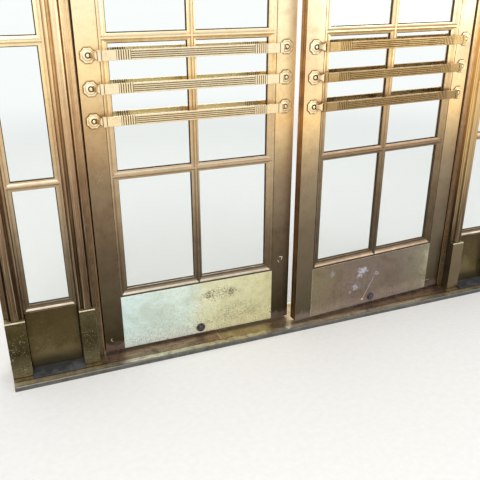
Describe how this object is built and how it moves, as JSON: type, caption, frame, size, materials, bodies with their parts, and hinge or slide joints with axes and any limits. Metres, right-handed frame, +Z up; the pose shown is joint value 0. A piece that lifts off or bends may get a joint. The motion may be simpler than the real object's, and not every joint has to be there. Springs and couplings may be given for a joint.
{
  "type": "pair of glazed brass entrance doors with sidelights",
  "caption": "Brass and glass entrance: glazed pivot leaves with guard bars and kick plates, between fluted jambs and narrow sidelights.",
  "frame": {"origin": "middle of the threshold's underside", "axes": "+X along the facade to the right seen from the street, -Y towards the street, +Z up"},
  "size_m": [2.644, 0.264, 2.168],
  "materials": {
    "frame_brass": "drawn, brown patina in the hollows",
    "leaf_brass": "brushed, hand-worn",
    "bar_brass": "satin, polished by use",
    "bright_plate": "polished and scratched",
    "dull_plate": "worn, scuffed",
    "cover_bronze": "dark brown, trodden",
    "threshold_brass": "worn pale",
    "ledge_stone": "honed grey",
    "lock_metal": "dark, tarnished",
    "pivot_steel": "turned",
    "clear_glass": "clear plate",
    "pile_seal": "woven pile, on pieces of the scene only",
    "glazing_compound": "dark, matt, on pieces of the scene only"
  },
  "bodies": {
    "frame": {"frame_head": "frame_brass", "head_casings": "frame_brass", "jamb_casings": "frame_brass", "left_mullion": "frame_brass", "left_outer_jamb": "frame_brass", "left_pivot_cover": "cover_bronze", "left_sidelight_glass": "clear_glass", "left_sidelight_glazing_bars": "frame_brass", "left_sidelight_ledge": "ledge_stone", "left_sidelight_panel": "frame_brass", "mullion_casings": "frame_brass", "plinth_blocks": "frame_brass", "right_mullion": "frame_brass", "right_outer_jamb": "frame_brass", "right_pivot_cover": "cover_bronze", "right_sidelight_glass": "clear_glass", "right_sidelight_glazing_bars": "frame_brass", "right_sidelight_ledge": "ledge_stone", "right_sidelight_panel": "frame_brass", "threshold": "threshold_brass"},
    "left_leaf": {"left_leaf_bottom_rail": "leaf_brass", "left_leaf_floor_lock": "lock_metal", "left_leaf_glass": "clear_glass", "left_leaf_glazing_bars": "leaf_brass", "left_leaf_guard_bars": "bar_brass", "left_leaf_hinge_stile": "leaf_brass", "left_leaf_kick_plates": "bright_plate", "left_leaf_meeting_stile": "leaf_brass", "left_leaf_pivots": "pivot_steel", "left_leaf_rosettes": "bar_brass", "left_leaf_top_rail": "leaf_brass"},
    "right_leaf": {"right_leaf_bottom_rail": "leaf_brass", "right_leaf_floor_lock": "lock_metal", "right_leaf_glass": "clear_glass", "right_leaf_glazing_bars": "leaf_brass", "right_leaf_guard_bars": "bar_brass", "right_leaf_hinge_stile": "leaf_brass", "right_leaf_kick_plates": "dull_plate", "right_leaf_meeting_stile": "leaf_brass", "right_leaf_pivots": "pivot_steel", "right_leaf_rosettes": "bar_brass", "right_leaf_top_rail": "leaf_brass"}
  },
  "joints": [
    {"name": "left_leaf_swing", "type": "hinge", "parent": "frame", "child": "left_leaf", "pos_m": [-0.858, 0, 0.036], "axis": [0, 0, -1], "range_deg": [0, 90]},
    {"name": "right_leaf_swing", "type": "hinge", "parent": "frame", "child": "right_leaf", "pos_m": [0.858, 0, 0.036], "axis": [0, 0, 1], "range_deg": [-4.5, 85.5]}
  ]
}
